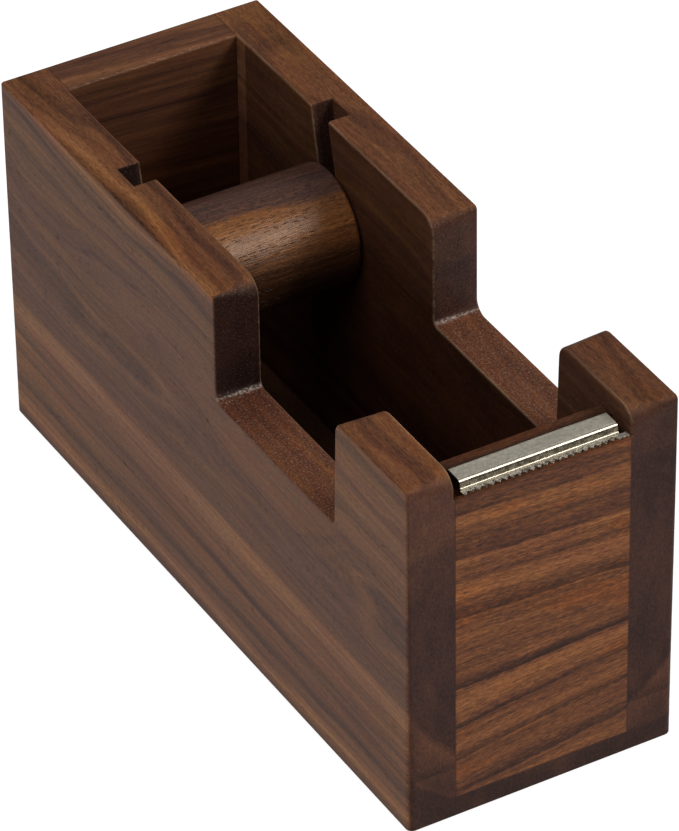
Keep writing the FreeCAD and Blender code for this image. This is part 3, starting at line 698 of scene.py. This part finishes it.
def axle_steel():
    """Drawn rod, with fine lines along it and faint stains."""
    g = Graph("axle_steel")
    lines = g.noise(g.spread(0.1, 8.0, 8.0), 3.0, 0.6)
    stains = g.noise(g.spread(0.3, 0.5, 0.5), 2.0, 0.6)
    roughness = g.add(0.30, g.add(g.sway(lines, 0.2), g.sway(stains, 0.15)))
    return g.shade(
        Base_Color=g.ramp(stains, ROD_TONES), Metallic=1.0, Roughness=roughness, Normal=g.bump(lines, 0.01)
    )


def beech():
    """Pale close-grained wood with short brown flecks, its grain along X."""
    w = Walnut("dowel_beech", run=lambda w: w.x, over=lambda w: w.y, rise=lambda w: w.z)
    tone = w.mix_tone((w.streaks, 0.5), (w.fibres, 0.5))
    return w.finish(w.ramp(tone, BEECH_TONES), roughness=0.6, pore_share=0.2)


def pad_rubber():
    """Matt black rubber with a fine grain and grey dust on it."""
    g = Graph("pad_rubber")
    grain = g.noise(g.spread(2.2, 2.2, 2.2), 3.0, 0.6)
    dust = g.noise(g.spread(0.25, 0.25, 0.6), 3.0, 0.6)
    roughness = g.add(0.8, g.sway(grain, 0.2))
    return g.shade(Base_Color=g.ramp(dust, RUBBER_TONES), Roughness=roughness, Normal=g.bump(grain, 0.06))


# ---------------------------------------------------------------- dressing the parts


def dress(nodes, material):
    """Give CAD parts one material all over."""
    for node in nodes:
        for slot in node_of[node].material_slots:
            slot.material = material


dress(["left_side_panel", "right_side_panel", "base_board"], side_walnut())
dress(["front_block"], front_block_walnut())
dress(["back_block"], back_block_walnut())
dress(["tape_roller"], roller_walnut())
dress(["cutting_blade"], blade_steel())
dress(["roller_axle"], axle_steel())
dress([node for node in node_of if node.endswith("dowels")], beech())
dress([node for node in node_of if node.endswith("pad")], pad_rubber())


# ---------------------------------------------------------------- the floor, the light and the camera


def direction(azimuth, elevation):
    """The way from the object to a place round it: azimuth 0 is ahead of the blade, 90 on the +X side."""
    a, e = math.radians(azimuth), math.radians(elevation)
    return Vector((math.sin(a) * math.cos(e), -math.cos(a) * math.cos(e), math.sin(e)))


def aim(item, target, roll=0.0):
    """Turn a lamp or a camera to face a target."""
    turn = (target - item.location).to_track_quat("-Z", "Y").to_matrix()
    item.rotation_euler = (turn @ Matrix.Rotation(math.radians(roll), 3, "Z")).to_euler()


low, high = cad_box
middle = (low + high) / 2


def make_floor():
    """A pale sheet that glows a little, so that the case stands in hardly any shadow."""
    bpy.ops.mesh.primitive_plane_add(size=6.0, location=(0, 0, low.z))
    floor = bpy.context.object
    floor.name = "floor"
    g = Graph("floor_paper")
    white = (1.0, 1.0, 1.0, 1.0)
    floor.data.materials.append(g.shade(
        Base_Color=(0.16, 0.16, 0.16, 1.0), Roughness=0.9, Emission_Color=white, Emission_Strength=0.94
    ))


def add_lamp(name, azimuth, elevation, distance, width, height, power):
    """A soft box that faces the object."""
    lamp = bpy.data.lights.new(name, "AREA")
    lamp.shape = "RECTANGLE"
    lamp.size = width
    lamp.size_y = height
    lamp.energy = power
    item = bpy.data.objects.new(name, lamp)
    item.location = middle + direction(azimuth, elevation) * distance
    aim(item, middle)
    scene.collection.objects.link(item)


def make_camera():
    lens = bpy.data.cameras.new("camera")
    lens.lens = 285.5
    lens.sensor_width = 36.0
    lens.clip_start = 0.05
    item = bpy.data.objects.new("camera", lens)
    target = Vector((0.0008, -0.0018, 0.0369))
    item.location = target + direction(-29.64, 36.34) * 1.2082
    aim(item, target, roll=-0.861)
    scene.collection.objects.link(item)
    scene.camera = item


def make_world(strength):
    world = bpy.data.worlds.new("studio")
    world.use_nodes = True
    background = world.node_tree.nodes["Background"]
    background.inputs["Color"].default_value = (1, 1, 1, 1)
    background.inputs["Strength"].default_value = strength
    scene.world = world


make_floor()
add_lamp("key", 42.0, 37.0, 1.7, 0.6, 0.6, 18.0)
add_lamp("overhead", -70.0, 66.0, 1.9, 1.4, 1.4, 18.0)
make_camera()
make_world(0.22)
scene.view_settings.view_transform = "Standard"
